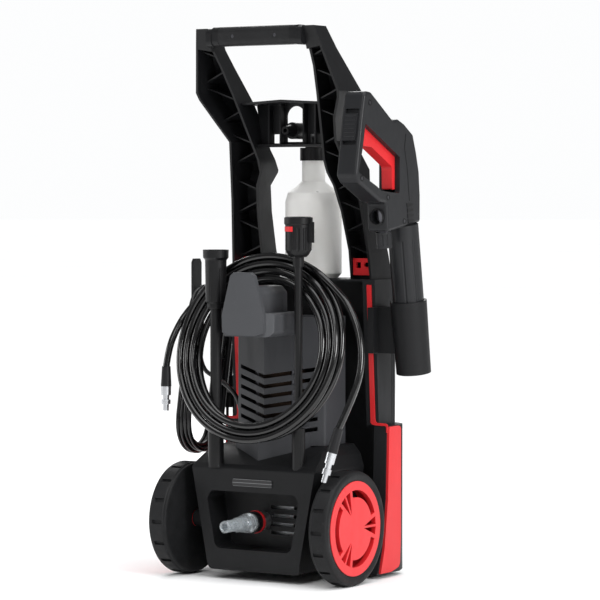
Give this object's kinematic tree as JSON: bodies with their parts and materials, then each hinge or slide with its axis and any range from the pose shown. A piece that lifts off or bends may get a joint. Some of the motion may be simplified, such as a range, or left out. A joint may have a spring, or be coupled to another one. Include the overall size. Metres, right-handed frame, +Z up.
{
  "type": "pressure washer",
  "caption": "Upright wheeled electric pressure washer with a trigger gun, two lances, a detergent bottle, a hose hung on a hook and a mains lead.",
  "frame": {"origin": "on the floor below the middle of the machine, measured without the hose and the mains lead", "axes": "+X towards the side that carries the gun, +Y towards the front with the switch knob, +Z up; the wheels are at the rear"},
  "size_m": [0.426, 0.309, 0.84],
  "materials": {
    "tyre": "satin",
    "red_plastic": "gloss",
    "shell_plastic": "satin",
    "black_plastic": "satin",
    "dark_plastic": "satin",
    "gun_plastic": "satin",
    "clear_plastic": "gloss",
    "bottle_plastic": "translucent",
    "rubber": "matte",
    "hose_rubber": "gloss",
    "label": "printed",
    "steel": "brushed",
    "lance_steel": "brushed",
    "brass": "machined",
    "aluminium": "cast",
    "copper_stack": "laminated with copper windings"
  },
  "bodies": {
    "chassis": {"arm_clips": "red_plastic", "base_housing": "dark_plastic", "cable_hook": "dark_plastic", "cross_brace": "dark_plastic", "front_feet": "rubber", "front_shell": "shell_plastic", "grip_screws": "steel", "gun_holder": "dark_plastic", "handle_bar": "dark_plastic", "handle_grip": "black_plastic", "hose_coil": "hose_rubber", "hose_gun_end": "hose_rubber", "hose_hook": "dark_plastic", "hose_outlet_end": "hose_rubber", "hose_plugs": "steel", "hose_sleeves": "black_plastic", "inlet_collar": "black_plastic", "inlet_filter": "steel", "inlet_red_ring": "red_plastic", "inlet_tail": "clear_plastic", "lance_holders": "black_plastic", "lead_gland": "black_plastic", "lead_hank": "rubber", "lead_run": "rubber", "lead_tail": "rubber", "left_frame_arm": "dark_plastic", "mains_plug": "black_plastic", "motor_bearings": "steel", "motor_cover": "shell_plastic", "motor_frame": "steel", "motor_stator": "copper_stack", "pressure_outlet": "aluminium", "pump_head": "aluminium", "pump_pistons": "steel", "rating_plate": "label", "right_frame_arm": "dark_plastic", "side_trims": "red_plastic", "switch_box": "black_plastic", "wheel_axles": "steel"},
    "left_wheel": {"left_tyre": "tyre", "left_hub": "red_plastic"},
    "right_wheel": {"right_tyre": "tyre", "right_hub": "red_plastic"},
    "rotor": {"motor_rotor": "copper_stack", "cooling_fan": "black_plastic", "wobble_plate": "steel"},
    "gun": {"gun_body": "gun_plastic", "gun_barrel": "gun_plastic", "gun_valve": "brass", "gun_inlet_nut": "gun_plastic"},
    "trigger": {"gun_trigger": "red_plastic"},
    "lock_slide": {"gun_lock_slide": "gun_plastic"},
    "spray_lance_body": {"spray_lance": "lance_steel"},
    "spray_head_body": {"spray_head": "black_plastic"},
    "turbo_lance_body": {"turbo_lance": "black_plastic", "turbo_head": "black_plastic"},
    "bottle": {"detergent_bottle": "bottle_plastic", "bottle_cap": "black_plastic", "foam_nozzle": "black_plastic"},
    "knob": {"power_knob": "black_plastic"}
  },
  "joints": [
    {"name": "left_wheel_spin", "type": "hinge", "parent": "chassis", "child": "left_wheel", "pos_m": [-0.144, -0.052, 0.0865], "axis": [1, 0, 0], "continuous": true},
    {"name": "right_wheel_spin", "type": "hinge", "parent": "chassis", "child": "right_wheel", "pos_m": [0.144, -0.052, 0.0865], "axis": [1, 0, 0], "continuous": true},
    {"name": "rotor_spin", "type": "hinge", "parent": "chassis", "child": "rotor", "pos_m": [0, 0.008, 0.25], "axis": [0, 0, 1], "continuous": true},
    {"name": "gun_lift", "type": "slide", "parent": "chassis", "child": "gun", "axis": [0, -0.1478, 0.989], "range_m": [0, 0.1]},
    {"name": "trigger_pull", "type": "hinge", "parent": "gun", "child": "trigger", "pos_m": [0.185, 0.00603, 0.65658], "axis": [-1, 0, 0], "range_deg": [0, 6], "stiffness_Nm_per_rad": 0.8, "springref_deg": -5.73},
    {"name": "lock_travel", "type": "slide", "parent": "gun", "child": "lock_slide", "axis": [0, 0.1894, 0.9819], "range_m": [0, 0.005]},
    {"name": "spray_lance_lift", "type": "slide", "parent": "chassis", "child": "spray_lance_body", "axis": [0, 0, 1], "range_m": [0, 0.055]},
    {"name": "spray_head_turn", "type": "hinge", "parent": "spray_lance_body", "child": "spray_head_body", "pos_m": [0.075, -0.078, 0.52], "axis": [0, 0, 1], "range_deg": [-30, 30]},
    {"name": "turbo_lance_lift", "type": "slide", "parent": "chassis", "child": "turbo_lance_body", "axis": [0, 0, 1], "range_m": [0, 0.055]},
    {"name": "bottle_pull", "type": "slide", "parent": "chassis", "child": "bottle", "axis": [0, 1, 0], "range_m": [0, 0.06]},
    {"name": "knob_turn", "type": "hinge", "parent": "chassis", "child": "knob", "pos_m": [0, 0.13, 0.38], "axis": [0, 1, 0], "range_deg": [0, 90]}
  ]
}
